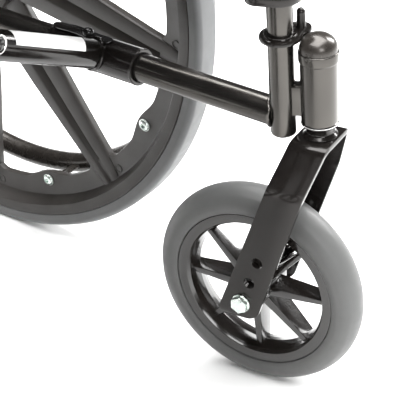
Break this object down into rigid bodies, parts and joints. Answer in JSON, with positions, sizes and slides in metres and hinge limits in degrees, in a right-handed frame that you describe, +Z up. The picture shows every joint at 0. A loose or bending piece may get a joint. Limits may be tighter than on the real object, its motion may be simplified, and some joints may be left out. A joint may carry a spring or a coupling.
{
  "type": "manual wheelchair",
  "caption": "Folding manual wheelchair with a dark tube frame, cross brace, large solid-tyred spoked rear wheels with handrims and bent-bar swivel casters.",
  "frame": {"origin": "on the floor under the middle of the chair's bounding box", "axes": "+Z up, the chair faces -Y, +X is the occupant's left"},
  "size_m": [0.6988, 0.811, 0.9211],
  "materials": {
    "frame_paint": "glossy dark metallic paint",
    "zinc": "zinc plated",
    "bright_steel": "polished",
    "black_plastic": "glossy moulded",
    "panel_plastic": "fine grain",
    "caster_plastic": "glossy moulded",
    "wheel_plastic": "matte moulded",
    "tyre": "matte grey rubber",
    "pad_vinyl": "grained vinyl",
    "sling_vinyl": "woven nylon"
  },
  "bodies": {
    "left_frame": {"side_tube_left": "frame_paint", "lower_rail_left": "frame_paint", "back_cane_left": "frame_paint", "axle_plate_left": "frame_paint", "hanger_collar_lower_left": "frame_paint", "hanger_collar_upper_left": "frame_paint", "caster_housing_left": "frame_paint", "caster_cap_left": "black_plastic", "rear_axle_left": "zinc", "brake_bracket_left": "frame_paint", "push_grip_left": "black_plastic", "seat_saddle_front_left": "black_plastic", "seat_saddle_rear_left": "black_plastic", "back_sling": "sling_vinyl"},
    "brace_a": {"cross_tube_a": "frame_paint", "seat_rail_right": "frame_paint", "pivot_bolt": "zinc", "seat_sling": "sling_vinyl"},
    "brace_b": {"cross_tube_b": "frame_paint", "seat_rail_left": "frame_paint"},
    "right_frame": {"side_tube_right": "frame_paint", "lower_rail_right": "frame_paint", "back_cane_right": "frame_paint", "axle_plate_right": "frame_paint", "hanger_collar_lower_right": "frame_paint", "hanger_collar_upper_right": "frame_paint", "caster_housing_right": "frame_paint", "caster_cap_right": "black_plastic", "rear_axle_right": "zinc", "brake_bracket_right": "frame_paint", "push_grip_right": "black_plastic", "seat_saddle_front_right": "black_plastic", "seat_saddle_rear_right": "black_plastic"},
    "caster_fork_left": {"caster_fork_left": "frame_paint", "caster_stem_left": "zinc", "caster_axle_left": "zinc"},
    "caster_wheel_left": {"caster_rim_left": "caster_plastic", "caster_tyre_left": "tyre"},
    "rear_wheel_left": {"rear_rim_left": "wheel_plastic", "rear_tyre_left": "tyre", "handrim_left": "frame_paint"},
    "arm_left": {"arm_frame_left": "frame_paint", "arm_pad_left": "pad_vinyl", "side_panel_left": "panel_plastic"},
    "brake_lever_left": {"brake_lever_left": "black_plastic"},
    "brake_shoe_left": {"brake_shoe_left": "bright_steel"},
    "caster_fork_right": {"caster_fork_right": "frame_paint", "caster_stem_right": "zinc", "caster_axle_right": "zinc"},
    "caster_wheel_right": {"caster_rim_right": "caster_plastic", "caster_tyre_right": "tyre"},
    "rear_wheel_right": {"rear_rim_right": "wheel_plastic", "rear_tyre_right": "tyre", "handrim_right": "frame_paint"},
    "arm_right": {"arm_frame_right": "frame_paint", "arm_pad_right": "pad_vinyl", "side_panel_right": "panel_plastic"},
    "brake_lever_right": {"brake_lever_right": "black_plastic"},
    "brake_shoe_right": {"brake_shoe_right": "bright_steel"}
  },
  "joints": [
    {"name": "fold", "type": "hinge", "parent": "left_frame", "child": "brace_a", "pos_m": [0.215, -0.1366, 0.2843], "axis": [0, 1, 0], "range_deg": [0, 47], "deforming": ["seat_sling", "back_sling"]},
    {"name": "brace_pivot", "type": "hinge", "parent": "brace_a", "child": "brace_b", "pos_m": [0, -0.1257, 0.39503], "axis": [0, 1, 0], "range_deg": [-94, 0]},
    {"name": "right_frame_hinge", "type": "hinge", "parent": "brace_b", "child": "right_frame", "pos_m": [-0.215, -0.1366, 0.2843], "axis": [0, 1, 0], "range_deg": [0, 47]},
    {"name": "caster_swivel_left", "type": "hinge", "parent": "left_frame", "child": "caster_fork_left", "pos_m": [0.22828, -0.3692, 0.29], "axis": [0, 0, 1], "continuous": true},
    {"name": "caster_spin_left", "type": "hinge", "parent": "caster_fork_left", "child": "caster_wheel_left", "pos_m": [0.21874, -0.30683, 0.1], "axis": [0.9885, 0.1513, 0], "continuous": true},
    {"name": "rear_spin_left", "type": "hinge", "parent": "left_frame", "child": "rear_wheel_left", "pos_m": [0.2903, 0.1003, 0.305], "axis": [1, 0, 0], "continuous": true},
    {"name": "arm_flip_left", "type": "hinge", "parent": "left_frame", "child": "arm_left", "pos_m": [0.243, 0.104, 0.7], "axis": [-1, 0, 0], "range_deg": [0, 100]},
    {"name": "brake_lever_left", "type": "hinge", "parent": "left_frame", "child": "brake_lever_left", "pos_m": [0.262, -0.215, 0.468], "axis": [1, 0, 0], "range_deg": [0, 50]},
    {"name": "brake_shoe_left", "type": "hinge", "parent": "left_frame", "child": "brake_shoe_left", "pos_m": [0.258, -0.185, 0.455], "axis": [-1, 0, 0], "range_deg": [0, 10]},
    {"name": "caster_swivel_right", "type": "hinge", "parent": "right_frame", "child": "caster_fork_right", "pos_m": [-0.22828, -0.3692, 0.29], "axis": [0, 0, 1], "continuous": true},
    {"name": "caster_spin_right", "type": "hinge", "parent": "caster_fork_right", "child": "caster_wheel_right", "pos_m": [-0.21874, -0.30683, 0.1], "axis": [0.9885, -0.1513, 0], "continuous": true},
    {"name": "rear_spin_right", "type": "hinge", "parent": "right_frame", "child": "rear_wheel_right", "pos_m": [-0.2903, 0.1003, 0.305], "axis": [1, 0, 0], "continuous": true},
    {"name": "arm_flip_right", "type": "hinge", "parent": "right_frame", "child": "arm_right", "pos_m": [-0.243, 0.104, 0.7], "axis": [-1, 0, 0], "range_deg": [0, 100]},
    {"name": "brake_lever_right", "type": "hinge", "parent": "right_frame", "child": "brake_lever_right", "pos_m": [-0.262, -0.215, 0.468], "axis": [1, 0, 0], "range_deg": [0, 50]},
    {"name": "brake_shoe_right", "type": "hinge", "parent": "right_frame", "child": "brake_shoe_right", "pos_m": [-0.258, -0.185, 0.455], "axis": [-1, 0, 0], "range_deg": [0, 10]}
  ],
  "couplings": [
    {"joint": "brace_pivot", "follows": "fold", "ratio": -2},
    {"joint": "right_frame_hinge", "follows": "fold", "ratio": 1},
    {"joint": "brake_shoe_left", "follows": "brake_lever_left", "ratio": 0.18},
    {"joint": "brake_shoe_right", "follows": "brake_lever_right", "ratio": 0.18}
  ]
}
